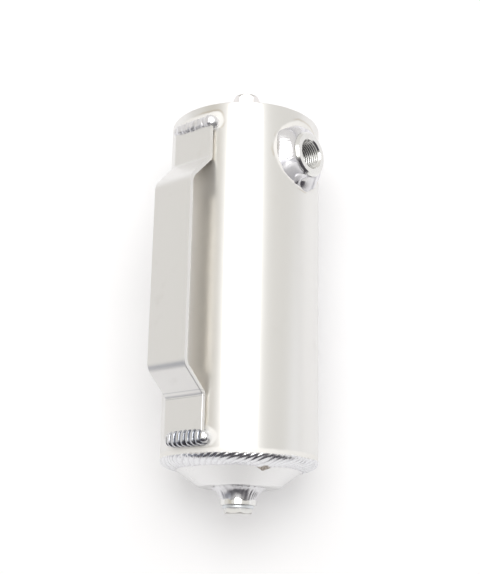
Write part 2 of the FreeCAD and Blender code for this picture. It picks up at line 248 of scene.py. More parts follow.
def satin_tube():
    """Satin aluminium with faint drawing lines, handling marks and the welds' frosted borders.

    A border is drawn by the distance from a weld's toe, and the far side of the tube counts as a metre off.
    """
    aluminium = colour(0.88, 0.875, 0.86)
    marked = colour(0.80, 0.79, 0.765)
    frosted = colour(0.95, 0.94, 0.92)
    browned = colour(0.62, 0.54, 0.42)
    border = 2.4 * MM
    raggedness = 1.6 * MM
    half_way = 10 * MM
    upper_shift = 1.4 * MM
    upper_cut = 0.4 * MM
    strap_gain = 0.2 * MM
    seam_gain = 0.9 * MM
    finish, shader, place = new_finish("satin_tube")
    x, y, z = place.apart()
    ragged = (place.speckle(180) - 0.5) * raggedness
    from_inlet = length_of(x - axis_x, z - inlet_z) - inlet_toe + y.step(-half_way, half_way)
    past_run = y.maths("ABSOLUTE", y) - strap_weld_run
    past_run = past_run.maths("MAXIMUM", past_run, 0.0)
    upper = z.step(-half_way, half_way)
    past_end = z.maths("ABSOLUTE", z) - strap_high.z - upper * upper_shift
    from_strap = length_of(past_run, past_end) - strap_weld_reach + x.step(35 * MM, 55 * MM)
    from_strap = from_strap + upper * upper_cut - strap_gain
    from_seam = z - seam_top - seam_gain
    nearest = from_inlet.maths("MINIMUM", from_inlet, from_strap)
    nearest = nearest.maths("MINIMUM", nearest, from_seam) + ragged
    frost = 1 - nearest.step(border * 0.6, border)
    edge = nearest.step(border * 0.8, border * 1.1) * (1 - nearest.step(border * 1.1, border * 1.6))
    edge = edge * place.speckle(60).step(0.5, 0.62) * z.step(0, 20 * MM)
    marks = place.speckle(45, detail=3.0).step(0.58, 0.8)
    lines = place.speckle(30, detail=4.0, stretch=(60, 60, 1))
    skin = (marks * 0.4).blend(aluminium, marked)
    skin = frost.blend(skin, frosted)
    (edge * 0.45).blend(skin, browned).feed(shader, "Base Color")
    (0.27 + lines * 0.06 + marks * 0.05 + frost * 0.3).feed(shader, "Roughness")
    (0.92 - frost * 0.45).feed(shader, "Metallic")
    lines.bump(0.12, 0.02 * MM).feed(shader, "Normal")
    return finish


tube_foot = Vector((axis_x, 0, tube_low.z))
tube_top = Vector((axis_x, 0, tube_high.z))
tank_tube = bored("tank_tube_shell", tube_radius, tube_radius - tube_wall, tube_foot, tube_top,
                  tube_segments)
round_edges(tank_tube, rim_bevel, sharp_ring)
# A ring of edges above and below the hole keeps its long thin faces off the rest of the tube.
hole_band = 1.2 * inlet_toe
for height in (inlet_z - hole_band, inlet_z + hole_band):
    bpy.ops.mesh.select_all(action="SELECT")
    bpy.ops.mesh.bisect(plane_co=(axis_x, 0, height), plane_no=(0, 0, 1))
inlet_hole = add(bpy.ops.mesh.primitive_cylinder_add, "inlet_hole", vertices=round_segments,
                 radius=inlet_radius + bung_clearance, depth=2 * tube_radius,
                 location=(axis_x, -tube_radius, inlet_z), rotation=(math.pi / 2, 0, 0))
cut(tank_tube, inlet_hole)
dress(tank_tube, satin_tube(), "tank", "tank_tube")

# The two ends: a flat sheet disc set a little below the top rim, and a shallow spun cone with a small
# flat in its middle at the bottom. Each has a hole in its middle that a bung is welded into.


def spun_sheet():
    """Sheet aluminium with the fine rings that the spinning tool leaves."""
    aluminium = colour(0.90, 0.90, 0.90)
    marked = colour(0.84, 0.83, 0.82)
    finish, shader, place = new_finish("spun_sheet")
    x, y, z = place.apart()
    away = length_of(x - axis_x, y)
    rings = away.node("ShaderNodeCombineXYZ", {}, {"X": away, "Y": z}).speckle(2500)
    marks = place.speckle(60, detail=5.0).step(0.55, 0.8)
    (marks * 0.3).blend(aluminium, marked).feed(shader, "Base Color")
    (0.24 + rings * 0.05 + marks * 0.06).feed(shader, "Roughness")
    rings.bump(0.05, 0.004 * MM).feed(shader, "Normal")
    return finish


sheet_finish = spun_sheet()
bung_low, bung_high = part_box("drain_bung")
bung_radius = (bung_high.x - bung_low.x) / 2
bung_hole = bung_radius + bung_clearance
cap_low, cap_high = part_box("top_cap")
cap_segments = 128
cap_edge = 0.2 * MM
top_cap = bored("top_cap_disc", (cap_high.x - cap_low.x) / 2, bung_hole, Vector((axis_x, 0, cap_low.z)),
                Vector((axis_x, 0, cap_high.z)), cap_segments)
round_edges(top_cap, cap_edge, sharp_ring, segments=2)
dress(top_cap, sheet_finish, "tank", "top_cap")

cone_low, cone_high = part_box("bottom_cone")
cone_wall = 2.0 * MM
cone_flat_radius = 22.8 * MM
cone_rim_radius = (cone_high.x - cone_low.x) / 2
cone_knuckle = 3.0 * MM
knuckle_steps = 6
cone_segments = 256
same_place = 0.1 * MM
cone_slope = math.atan((cone_high.z - cone_low.z) / (cone_rim_radius - cone_flat_radius))
knuckle_setback = cone_knuckle * math.tan(cone_slope / 2)
bottom_cone = add(bpy.ops.mesh.primitive_cone_add, "bottom_cone_shell", vertices=cone_segments,
                  radius1=cone_flat_radius, radius2=cone_rim_radius, depth=cone_high.z - cone_low.z,
                  location=(axis_x, 0, (cone_low.z + cone_high.z) / 2))
pick(bottom_cone, "FACE", lambda face: len(face.verts) == cone_segments and middle(face).z > cone_low.z + MM)
bpy.ops.mesh.delete(type="ONLY_FACE")
round_edges(bottom_cone, knuckle_setback,
            lambda edge: len(edge.link_faces) == 2 and middle(edge).z < cone_low.z + same_place,
            segments=knuckle_steps)
pick(bottom_cone, "FACE", lambda face: len(face.verts) == cone_segments)
bpy.ops.mesh.inset(thickness=cone_flat_radius - knuckle_setback - bung_hole)
bpy.ops.mesh.delete(type="FACE")
apply_modifier(bottom_cone, "SOLIDIFY", thickness=cone_wall, offset=-1, use_even_offset=True)
dress(bottom_cone, sheet_finish, "tank", "bottom_cone", smooth=50)

# The inlet bung: a turned collar in the tube's side, with a chamfered mouth and a cut pipe thread
# that runs right through it. It stands a little way out of its weld.


def turned_bar(name, along, centre, crest, root):
    """Turned aluminium: fine rings round the axis that it was turned on.

    The grooves of a thread, between its crest and its root, are painted darker as painted shade, most on the
    upper side, and the tap has torn the crests, which are paler.
    """
    bright = colour(0.90, 0.90, 0.885)
    marked = colour(0.83, 0.82, 0.80)
    groove_shade_tone = colour(0.06, 0.055, 0.045)
    half_way = 0.6 * MM
    finish, shader, place = new_finish(name)
    parts = place.apart()
    across = [part - centre[index] for index, part in enumerate(parts) if index != along]
    away = length_of(*across)
    rings = away.node("ShaderNodeCombineXYZ", {}, {"X": away, "Y": parts[along]}).speckle(5000)
    marks = place.speckle(150, detail=4.0).step(0.5, 0.8)
    metal = (marks * 0.5).blend(bright, marked)
    inside = 1 - away.step(root + 0.05 * MM, root + 0.2 * MM)
    groove = away.step(crest + 0.05 * MM, root - 0.1 * MM) * inside
    torn = inside - groove
    upper = parts[2].step(centre[2] - half_way, centre[2] + half_way)
    # Painted shade: the thread's grooves are painted darker, most on the upper side.
    groove_shade = groove * (0.05 + 0.6 * upper)
    groove_shade.blend(metal, groove_shade_tone).feed(shader, "Base Color")
    (0.12 + rings * 0.08 + inside * 0.14).feed(shader, "Roughness")
    (1 - torn * 0.6).feed(shader, "Metallic")
    rings.bump(0.5, 0.03 * MM).feed(shader, "Normal")
    return finish


def thread_ridge(name, foot, crest, pitch, turns, place):
    """A right-handed ridge wound round +Z from 0 upwards, then put in its place."""
    foot_half = 0.48 * pitch
    crest_half = 0.08 * pitch
    steps = 48
    piece = add(bpy.ops.mesh.primitive_circle_add, name, vertices=4, radius=foot)
    bpy.ops.object.mode_set(mode="OBJECT")
    corners = [(foot, 0, -foot_half), (crest, 0, -crest_half), (crest, 0, crest_half), (foot, 0, foot_half)]
    for vertex, corner in zip(piece.data.vertices, corners):
        vertex.co = corner
    apply_modifier(piece, "SCREW", axis="Z", angle=2 * math.pi, screw_offset=pitch, iterations=turns,
                   steps=steps, render_steps=steps)
    bpy.ops.object.mode_set(mode="EDIT")
    bpy.ops.mesh.select_all(action="SELECT")
    bpy.ops.mesh.fill_holes(sides=4)
    bpy.ops.mesh.normals_make_consistent(inside=False)
    bpy.ops.object.mode_set(mode="OBJECT")
    piece.data.transform(place)
    return piece


def join(piece, *others):
    """Make one piece of several."""
    stop_editing()
    bpy.ops.object.select_all(action="DESELECT")
    for part in (piece, *others):
        part.select_set(True)
    bpy.context.view_layer.objects.active = piece
    bpy.ops.object.join()


inlet_pitch = 1.411 * MM
inlet_thread_root = 7.85 * MM
inlet_thread_crest = 7.4 * MM
inlet_thread_inset = 0.7 * MM
inlet_threads = 8
inlet_thread_start = math.radians(-100)
inlet_mouth = Vector((axis_x, inlet_low.y, inlet_z))
inlet_end = Vector((axis_x, inlet_high.y, inlet_z))
inlet_chamfer = 1.2 * MM
inlet_segments = 128
thread_overlap = 0.1 * MM


def mouth_edge(edge):
    return sharp_ring(edge) and middle(edge).y < inlet_low.y + MM


inlet_bung = bored("inlet_bung_collar", inlet_radius, inlet_thread_root, inlet_mouth, inlet_end,
                   inlet_segments)
round_edges(inlet_bung, inlet_chamfer, mouth_edge, segments=1)
inlet_thread_place = (Matrix.Translation(inlet_mouth + Vector((0, inlet_thread_inset, 0)))
                      @ Matrix.Rotation(-math.pi / 2, 4, "X")
                      @ Matrix.Rotation(inlet_thread_start, 4, "Z"))
inlet_thread = thread_ridge("inlet_thread", inlet_thread_root + thread_overlap, inlet_thread_crest,
                            inlet_pitch, inlet_threads, inlet_thread_place)
join(inlet_bung, inlet_thread)
inlet_metal = turned_bar("inlet_turned", 1, (axis_x, 0, inlet_z), inlet_thread_crest, inlet_thread_root)
dress(inlet_bung, inlet_metal, "tank", "inlet_bung")

# The two bungs that take a plug: turned collars with a chamfered edge and a tapped hole, one in the
# cone's flat and a longer one in the top disc.
plug_pitch = 1.5875 * MM
plug_bore = 4.8 * MM
plug_tap_crest = 4.1 * MM
bung_edge = 0.4 * MM
bung_finish = turned_bar("bung_turned", 2, (axis_x, 0, 0), plug_tap_crest, plug_bore)
for node in ("drain_bung", "vent_bung"):
    low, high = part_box(node)
    foot = Vector((axis_x, 0, low.z))
    bung = bored(node + "_collar", bung_radius, plug_bore, foot, Vector((axis_x, 0, high.z)), round_segments)
    round_edges(bung, bung_edge, sharp_ring)
    turns = int((high.z - low.z) / plug_pitch) - 1
    lift = (high.z - low.z - turns * plug_pitch) / 2
    tapped = thread_ridge(node + "_thread", plug_bore + thread_overlap, plug_tap_crest, plug_pitch, turns,
                          Matrix.Translation(foot + Vector((0, 0, lift))))
    join(bung, tapped)
    dress(bung, bung_finish, "tank", node)

# The round welds: beads of filler laid by hand in overlapping pulses, which show as slanting ripples.
# One joins the tube to the cone, one the top disc to the rim, and one goes round each bung.
bead_face = 0.8
bead_back = 1.2 * MM
bead_edge = 0.07
toe_crease_shade = 1.7
bead_rows = 44
steps_per_pulse = 14
seam_drop = 9.0 * MM
crater_angle = math.radians(243.3)
crater_drop = seam_drop + 2.4 * MM
crater_radius = cone_rim_radius - crater_drop * math.cos(cone_slope)
crater = Vector((axis_x + crater_radius * math.cos(crater_angle), crater_radius * math.sin(crater_angle),
                 seam_top - crater_drop * math.sin(cone_slope)))


def weld_bead(name, base, soot_and_shade_tone, gloss, soot_and_shade_share=0.6):
    """Filler metal, bright on the pulses, with random soot flecks; the valleys between pulses and the toe are
    painted darker as painted shade.

    It is duller all over where the bead has haze on it, and burnt round the crater where the seam ends.
    """
    burn_inside = 3.2 * MM
    burn_outside = 5.0 * MM
    raggedness = 3 * MM
    burnt_dark = colour(0.20, 0.15, 0.11)
    burnt_light = colour(0.50, 0.44, 0.38)
    finish, shader, place = new_finish(name)
    haze = place.node("ShaderNodeAttribute", {"attribute_name": "haze"}, {}, output=2)
    valley_shade = place.node("ShaderNodeAttribute", {"attribute_name": "valley_shade"}, {}, output=2)
    soot = place.speckle(400, detail=4.0).step(0.5, 0.85)
    from_crater = place.node("ShaderNodeVectorMath", {"operation": "DISTANCE"},
                             {"Vector": place, "Vector_001": crater}, output=1)
    ragged = (place.speckle(500) - 0.5) * raggedness
    burnt = 1 - (from_crater + ragged).step(burn_inside, burn_outside)
    # Painted shade: the valleys between pulses and the toe line take the darker tone, along with the random
    # soot and haze.
    metal = (soot * 0.3 + valley_shade * soot_and_shade_share + haze * 0.15).blend(base, soot_and_shade_tone)
    flecks = place.speckle(900, detail=3.0).step(0.4, 0.6)
    scorch = flecks.blend(burnt_dark, burnt_light)
    (burnt * 0.85).blend(metal, scorch).feed(shader, "Base Color")
    (gloss + soot * 0.15 + valley_shade * 0.1 + burnt * 0.2 + haze * 0.26).feed(shader, "Roughness")
    (1 - haze * 0.4).feed(shader, "Metallic")
    place.speckle(1500, detail=2.0).bump(0.07, 0.05 * MM).feed(shader, "Normal")
    return finish


def pulse(phase):
    """The height of one pulse of a weld, 0 to 1, steep on the side where it laps over the last."""
    return math.sin(math.pi * (phase % 1) ** 0.6)


def laid(pulses, angle):
    """How many of a bead's pulses have been laid when it has come round to an angle."""
    return pulses * angle / (2 * math.pi)


def arched(across):
    """0 at both edges of a bead and 1 in its middle, with steep sides."""
    return math.sin(math.pi * across) ** 0.5


def wander(angle, lumps, seed):
    """A smooth random number, about -0.5 to 0.5, that comes back to itself after a turn."""
    radius = lumps / (2 * math.pi)
    return noise.noise(Vector((radius * math.cos(angle), radius * math.sin(angle), seed)))


def lay_ring(name, steps, section, around, ripple, spread, phase):
    """Roll a flat sheet of faces into a bead that runs once round.

    At an angle, section gives the bead's toe, knee and crown: its face curves from the toe to the
    crown, pulled towards the knee. around gives the way that the bead runs, ripple the height of the
    pulses part of the way across, spread how far they push an edge out, and phase how many are laid.
    """
    piece = add(bpy.ops.mesh.primitive_grid_add, name, x_subdivisions=steps, y_subdivisions=bead_rows,
                size=1)
    bpy.ops.object.mode_set(mode="OBJECT")
    valley_shade = piece.data.attributes.new("valley_shade", "FLOAT", "POINT")
    for vertex in piece.data.vertices:
        angle = 2 * math.pi * (vertex.co.x + 0.5)
        share = vertex.co.y + 0.5
        toe, knee, crown = section(angle)
        along = (crown - toe).normalized()
        toe = toe - along * spread(angle, 0)
        crown = crown + along * spread(angle, 1)
        if share <= bead_face:
            across = share / bead_face
            lower = toe.lerp(knee, across)
            upper = knee.lerp(crown, across)
            proud = around(angle).cross(upper - lower).normalized()
            vertex.co = lower.lerp(upper, across) + proud * ripple(angle, across)
            # Painted shade: a thin line along the toe crease and the valleys between pulses are marked to be
            # painted darker.
            at_edge = toe_crease_shade * max(0, 1 - across / bead_edge)
            valley_shade.data[vertex.index].value = max(at_edge, (1 - pulse(phase(angle, across))) ** 2)
        else:
            across = (1 - share) / (1 - bead_face)
            proud = around(angle).cross(along).normalized()
            vertex.co = toe.lerp(crown, across) - proud * bead_back * math.sin(math.pi * across)
    bpy.ops.object.mode_set(mode="EDIT")
    bpy.ops.mesh.select_all(action="SELECT")
    bpy.ops.mesh.remove_doubles(threshold=0.001 * MM)
    bpy.ops.mesh.normals_make_consistent(inside=False)
    return piece


def round_axis(radius, angle, height):
    return Vector((axis_x + radius * math.cos(angle), radius * math.sin(angle), height))


def lay_round_axis(name, pulses, corners, ripple, spread, phase):
    """A bead about the tank's axis; corners are its toe, knee and crown, each a radius and a height."""
    return lay_ring(name, pulses * steps_per_pulse,
                    lambda angle: [round_axis(radius, angle, height) for radius, height in corners],
                    lambda angle: Vector((-math.sin(angle), math.cos(angle), 0)), ripple, spread, phase)


bead_finish = weld_bead("weld_bead", colour(0.90, 0.91, 0.93), colour(0.66, 0.64, 0.68), 0.25)
dull_finish = weld_bead("dull_weld", colour(0.88, 0.88, 0.90), colour(0.54, 0.53, 0.54), 0.36)
seam_pulses = 66
seam_toe = (cone_rim_radius - seam_drop * math.cos(cone_slope), seam_top - seam_drop * math.sin(cone_slope))
seam_knee = (tube_radius, seam_top - 3.6 * MM)
seam_crown = (tube_radius, seam_top + 0.3 * MM)
seam_slant = 2.2
seam_unevenness = 1.1
seam_toe_height = 0.08 * MM
seam_height_gain = 0.24 * MM
seam_lump = 0.34 * MM
seam_push = 0.4 * MM
seam_edge_wander = 0.5 * MM
crater_half_width = 4.6 * MM
crater_spill = 5.2 * MM


def seam_phase(angle, across):
    """How many pulses have been laid; the pulses slant across the seam."""
    uneven = seam_unevenness * wander(angle, seam_pulses / 3, 1)
    return laid(seam_pulses, angle) - seam_slant * across + uneven


def seam_ripple(angle, across):
    """The pulses are low at the toe and higher towards the tube, on a lumpy face."""
    height = (seam_toe_height + seam_height_gain * across) * (1 + 1.4 * wander(angle, 17, 9))
    lumps = seam_lump * wander(angle, 20, 4)
    return (height * (pulse(seam_phase(angle, across)) - 0.55) + lumps) * arched(across)


def seam_spread(angle, across):
    """How far an edge is pushed out; where the last pulse ended, the toe runs down the cone."""
    from_crater = (angle - crater_angle) * tube_radius / crater_half_width
    spill = crater_spill * math.exp(-from_crater ** 2) * (1 - across)
    waves = seam_push * (pulse(seam_phase(angle, across)) - 0.5)
    return waves + seam_edge_wander * wander(angle, 24, 7 + across) + spill


bottom_seam = lay_round_axis("bottom_seam_bead", seam_pulses, (seam_toe, seam_knee, seam_crown), seam_ripple,
                             seam_spread, seam_phase)
dress(bottom_seam, bead_finish, "tank", "bottom_seam_weld", smooth=60)

cap_weld_low, cap_weld_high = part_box("top_seam_weld")
cap_bead_radius = (cap_weld_high.x - cap_weld_low.x) / 2
cap_bead_leg = cap_weld_high.z - cap_weld_low.z
cap_pulses = 60
cap_slant = 0.8
cap_unevenness = 0.5
cap_bulge = 0.35
cap_height = 0.35 * MM
cap_push = 0.2 * MM


def cap_phase(angle, across):
    return laid(cap_pulses, angle) - cap_slant * across + cap_unevenness * wander(angle, 20, 2)


def cap_ripple(angle, across):
    return cap_height * (pulse(cap_phase(angle, across)) - 0.5) * arched(across)


def cap_spread(angle, across):
    return cap_push * (pulse(cap_phase(angle, across)) - 0.5) * across


cap_toe = (cap_bead_radius, cap_weld_high.z)
cap_knee = (cap_bead_radius - cap_bulge * cap_bead_leg, cap_weld_low.z + (1 - cap_bulge) * cap_bead_leg)
cap_crown = (cap_bead_radius - cap_bead_leg, cap_weld_low.z)
top_seam = lay_round_axis("top_seam_bead", cap_pulses, (cap_toe, cap_knee, cap_crown), cap_ripple, cap_spread,
                          cap_phase)
dress(top_seam, bead_finish, "tank", "top_seam_weld", smooth=60)

bung_pulses = 24
bung_slant = 0.5
bung_unevenness = 2.2
bung_height = 0.34 * MM
bung_lump = 0.9 * MM
bung_push = 0.5 * MM
bung_weld_toe = 15.4 * MM
bung_weld_overrun = 0.8 * MM
bung_knee_off = 1.0 * MM
bare_depth = 3.0 * MM
drain_overrun = 0.9 * MM


def bung_phase(angle, across):
    return laid(bung_pulses, angle) - bung_slant * across + bung_unevenness * wander(angle, 9, 3)


def bung_ripple(angle, across):
    lumps = bung_lump * wander(angle, 11, 6)
    return (bung_height * (pulse(bung_phase(angle, across)) - 0.5) + lumps) * arched(across)


def bung_spread(angle, across):
    return bung_push * (pulse(bung_phase(angle, across)) - 0.5)


def swelling(angle, at, width):
    """1 at an angle in degrees, which falls off to 0 on both sides of it."""
    return math.exp(-((math.degrees(angle) - at) / width) ** 2)


def drain_spread(angle, across):
    """In one place the bead stops short of the bung's end and leaves its wall bare."""
    bare = bare_depth * swelling(angle, at=218, width=20) - drain_overrun
    return bung_spread(angle, across) - bare * (1 - across)


drain_weld_low, drain_weld_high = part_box("drain_bung_weld")
vent_weld_low, vent_weld_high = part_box("vent_bung_weld")
bung_knee = bung_radius + bung_knee_off
drain_corners = ((bung_radius, drain_weld_low.z - bung_weld_overrun),
                 (bung_knee, drain_weld_high.z - bung_knee_off), (bung_weld_toe, drain_weld_high.z))
drain_weld = lay_round_axis("drain_bung_bead", bung_pulses, drain_corners, bung_ripple, drain_spread,
                            bung_phase)
dress(drain_weld, dull_finish, "tank", "drain_bung_weld", smooth=60)
vent_corners = ((bung_weld_toe, vent_weld_low.z), (bung_knee, vent_weld_low.z + bung_knee_off),
                (bung_radius, vent_weld_high.z + bung_weld_overrun))
vent_weld = lay_round_axis("vent_bung_bead", bung_pulses, vent_corners, bung_ripple, bung_spread, bung_phase)
dress(vent_weld, dull_finish, "tank", "vent_bung_weld", smooth=60)

# The angles in degrees at which the inlet weld's lobes start, and between which it is hazy below
inlet_stops = (0, 34, 66, 100, 142, 212, 244, 262, 300, 330, 360)
inlet_lobe_height = 0.7 * MM
inlet_lobe_push = 0.9 * MM
inlet_last_swell = 1.0 * MM
inlet_streaks = 56
inlet_streak_height = 0.015 * MM
inlet_steps = 420
inlet_stand = 3.4 * MM
inlet_bulge = 1.5 * MM
inlet_start_swell = 2.2 * MM
haze_left = (206, 244)
haze_below = (268, 300)
haze_soft = 6


def inlet_section(angle):
    """The bead's toe on the tube, its knee, and its crown on the bung."""
    reach = inlet_toe + inlet_start_swell * swelling(angle, at=148, width=15)
    across = reach * math.cos(angle)
    toe = Vector((axis_x + across, -math.sqrt(tube_radius ** 2 - across ** 2),
                  inlet_weld_z + reach * math.sin(angle)))
    crown = Vector((axis_x + inlet_radius * math.cos(angle), -tube_radius - inlet_stand,
                    inlet_z + inlet_radius * math.sin(angle)))
    proud = inlet_around(angle).cross(crown - toe).normalized()
    return toe, (toe + crown) / 2 + proud * inlet_bulge, crown


def inlet_around(angle):
    return Vector((-math.sin(angle), 0, math.cos(angle)))


def inlet_phase(angle, across):
    """How many of the bead's lobes are laid, which curve forward in the middle of the bead."""
    curve = 10
    lean = 8
    turn = (math.degrees(angle) + curve * math.sin(math.pi * across) - lean * across) % 360
    lobe = max(index for index, stop in enumerate(inlet_stops[:-1]) if stop <= turn)
    return lobe + (turn - inlet_stops[lobe]) / (inlet_stops[lobe + 1] - inlet_stops[lobe])


def inlet_ripple(angle, across):
    phase = inlet_phase(angle, across)
    lobe = inlet_lobe_height * (pulse(phase) - 0.5)
    last = inlet_last_swell * swelling(angle, at=280, width=13)
    streaks = inlet_streak_height * math.sin(inlet_streaks * angle + 3 * across)
    return (lobe + last + streaks) * arched(across)


def inlet_spread(angle, across):
    """The toe stands out on each lobe, and most on the last, below the bung."""
    last = inlet_last_swell * swelling(angle, at=278, width=14)
    return (inlet_lobe_push * (pulse(inlet_phase(angle, across)) - 0.5) + last) * (1 - across)


def between(value, low, high, soft):
    """1 from low to high, which falls off to 0 over a soft edge."""
    return max(0, min(1, 1 - (low - value) / soft, 1 - (value - high) / soft))


inlet_weld = lay_ring("inlet_weld_bead", inlet_steps, inlet_section, inlet_around, inlet_ripple,
                      inlet_spread, inlet_phase)
stop_editing()
inlet_haze = inlet_weld.data.attributes.new("haze", "FLOAT", "POINT")
for vertex in inlet_weld.data.vertices:
    turn = math.degrees(math.atan2(vertex.co.z - inlet_weld_z, vertex.co.x - axis_x)) % 360
    hazy = max(between(turn, *haze_left, haze_soft), 0.8 * between(turn, *haze_below, haze_soft))
    inlet_haze.data[vertex.index].value = hazy
inlet_finish = weld_bead("inlet_weld", colour(0.90, 0.895, 0.92), colour(0.55, 0.55, 0.60), 0.18)
dress(inlet_weld, inlet_finish, "tank", "inlet_bung_weld", smooth=60)

# The mounting strap: a flat aluminium bar pressed to a hat shape, with its two end tabs on the tube.
# The press leaves fine lines across the inside of the lower bend, which are painted darker as painted shade,
# and the lower front edge is filed.
strap_thickness = 2.3 * MM
strap_bend = 2.65 * MM
strap_web_bend = 7.0 * MM
strap_web_top = 51.7 * MM
strap_web_foot = -53.2 * MM
strap_tab_corner = 67.2 * MM
strap_edge = 0.15 * MM
strap_filed = 0.35 * MM
strap_filed_top = strap_web_foot - 1.5 * MM
tab_bend_steps = 8
web_bend_steps = 10
strap_web_x = strap_low.x + strap_thickness / 2
strap_tab_x = strap_high.x - strap_thickness / 2


def rolled_bar():
    """Rolled aluminium bar, with faint lines along it, light handling marks and the press's lines, which are
    painted darker as painted shade.

    The side that faces the tube is painted darker and warmer, as painted shade.
    """
    bright = colour(0.885, 0.88, 0.87)
    marked = colour(0.81, 0.80, 0.78)
    back_shade_tone = colour(0.78, 0.74, 0.675)
    press_line_shade = colour(0.55, 0.55, 0.56)
    press_line_half = 0.2 * MM
    press_line_step = 1.5 * MM
    press_reach = 2.0 * MM
    press_soft = 0.1 * MM
    finish, shader, place = new_finish("rolled_bar")
    z = place.apart()[2]
    lines = place.speckle(40, detail=4.0, stretch=(1, 40, 1))
    marks = place.speckle(80, detail=6.0).step(0.58, 0.8)
    # Painted shade: the press lines across the lower bend are painted darker.
    from_press = z + strap_tab_corner
    from_line = from_press.maths("PINGPONG", from_press + press_line_step / 2, press_line_step / 2)
    pressed = from_line.step(press_line_step / 2 - 2 * press_line_half, press_line_step / 2)
    off_press = from_press.maths("ABSOLUTE", from_press)
    pressed = pressed * (1 - off_press.step(press_reach - press_soft, press_reach + press_soft))
    metal = (marks * 0.5).blend(bright, marked)
    # Painted shade: the side that faces the tube is painted darker and warmer.
    facing = place.node("ShaderNodeNewGeometry", {}, {}, output=3).apart()[0]
    metal = facing.step(0.3, 0.6).blend(metal, back_shade_tone)
    (pressed * 0.6).blend(metal, press_line_shade).feed(shader, "Base Color")
    (0.27 + lines * 0.06 + marks * 0.1).feed(shader, "Roughness")
    shader.inputs["Metallic"].default_value = 0.92
    lines.bump(0.1, 0.02 * MM).feed(shader, "Normal")
    return finish


def filed_edge(edge):
    """Whether an edge is the front one of the lower leg or tab, which is filed rounder than the rest."""
    faces = edge.link_faces
    return (all(vertex.co.z < strap_filed_top for vertex in edge.verts)
            and any(face.normal.y < -0.9 for face in faces)
            and any(face.normal.x < -0.3 for face in faces))


strap = add(bpy.ops.mesh.primitive_plane_add, "mounting_strap", size=1, rotation=(0, math.pi / 2, 0))
bpy.ops.mesh.select_all(action="SELECT")
bpy.ops.transform.resize(value=(1, strap_high.y - strap_low.y, strap_high.z - strap_tab_corner))
bpy.ops.transform.translate(value=(strap_tab_x, 0, (strap_high.z + strap_tab_corner) / 2))
bend_places = [(strap_tab_x, strap_tab_corner), (strap_web_x, strap_web_top),
               (strap_web_x, strap_web_foot), (strap_tab_x, -strap_tab_corner), (strap_tab_x, strap_low.z)]
for start, end in zip(bend_places, bend_places[1:]):
    pick(strap, "EDGE", lambda edge: all(vertex.co.z < start[1] + same_place for vertex in edge.verts))
    move = (end[0] - start[0], 0, end[1] - start[1])
    bpy.ops.mesh.extrude_region_move(TRANSFORM_OT_translate={"value": move})
half_bend = math.radians(22.5)
bends = ((strap_tab_corner, strap_bend, tab_bend_steps), (strap_web_top, strap_web_bend, web_bend_steps),
         (strap_web_foot, strap_web_bend, web_bend_steps), (-strap_tab_corner, strap_bend, tab_bend_steps))
for corner, radius, steps in bends:
    round_edges(strap, radius * math.tan(half_bend),
                lambda edge: len(edge.link_faces) == 2 and abs(middle(edge).z - corner) < same_place,
                segments=steps)
bpy.ops.mesh.select_all(action="SELECT")
bpy.ops.mesh.normals_make_consistent(inside=False)
apply_modifier(strap, "SOLIDIFY", thickness=strap_thickness, offset=0, use_even_offset=True)
bpy.ops.object.mode_set(mode="EDIT")
round_edges(strap, strap_filed, filed_edge)
apply_modifier(strap, "BEVEL", width=strap_edge, segments=2, limit_method="ANGLE",
               angle_limit=math.radians(50))
dress(strap, rolled_bar(), "tank", "mounting_bracket", smooth=10)

# The strap's two welds: one bead across each end, from one side of the tab to the other. The lower is
# a neat flat coil of pulses and the upper a rough, dull one that ends in a thicker drop.


def lay_run(name, centre, half_run, stand, reach, pulses, ripple, roughen, drop):
    """Shape a ball into a bead that runs along Y, with blunt ends and a drop at the -Y one.

    stand is how far it stands off the tube, and reach how far it goes up and down.
    """
    rings = 160
    around = 48
    bluntness = 5
    flatness = 0.7
    lean = 0.25
    unevenness = 0.15
    drop_at = -0.82
    drop_width = 0.16
    piece = add(bpy.ops.mesh.primitive_uv_sphere_add, name, segments=around, ring_count=rings, radius=1,
                rotation=(math.pi / 2, 0, 0))
    bpy.ops.object.mode_set(mode="OBJECT")
    valley_shade = piece.data.attributes.new("valley_shade", "FLOAT", "POINT")
    for vertex in piece.data.vertices:
        along = 1 - 2 * math.acos(max(-1, min(1, vertex.co.y))) / math.pi
        side = math.atan2(vertex.co.z, vertex.co.x)
        girth = (1 - abs(along) ** bluntness) ** 0.5
        uneven = unevenness * noise.noise(Vector((along * 4, 0, 2)))
        phase = pulses * (along + 1) / 2 + lean * math.cos(side) + uneven
        girth *= 1 + ripple * (pulse(phase) - 0.5)
        girth *= 1 + roughen * noise.noise(Vector((along * 9, math.cos(side) * 1.5, math.sin(side) * 1.5)))
        girth *= 1 + drop * math.exp(-((along - drop_at) / drop_width) ** 2)
        outward = math.copysign(abs(math.cos(side)) ** flatness, math.cos(side))
        upward = math.copysign(abs(math.sin(side)) ** flatness, math.sin(side))
        vertex.co = centre + Vector((stand * girth * outward, along * half_run, reach * girth * upward))
        # The valleys are marked to be painted darker as painted shade, though not on the -Y end, and less
        # than elsewhere on the other.
        unshaded_end = max(between(along, -1.1, -0.86, 0.06), 0.7 * between(along, 0.8, 1.1, 0.3))
        valley_shade.data[vertex.index].value = (1 - pulse(phase)) ** 0.4 * (1 - unshaded_end)
    bpy.ops.object.mode_set(mode="EDIT")
    bpy.ops.mesh.select_all(action="SELECT")
    bpy.ops.mesh.normals_make_consistent(inside=False)
    return piece


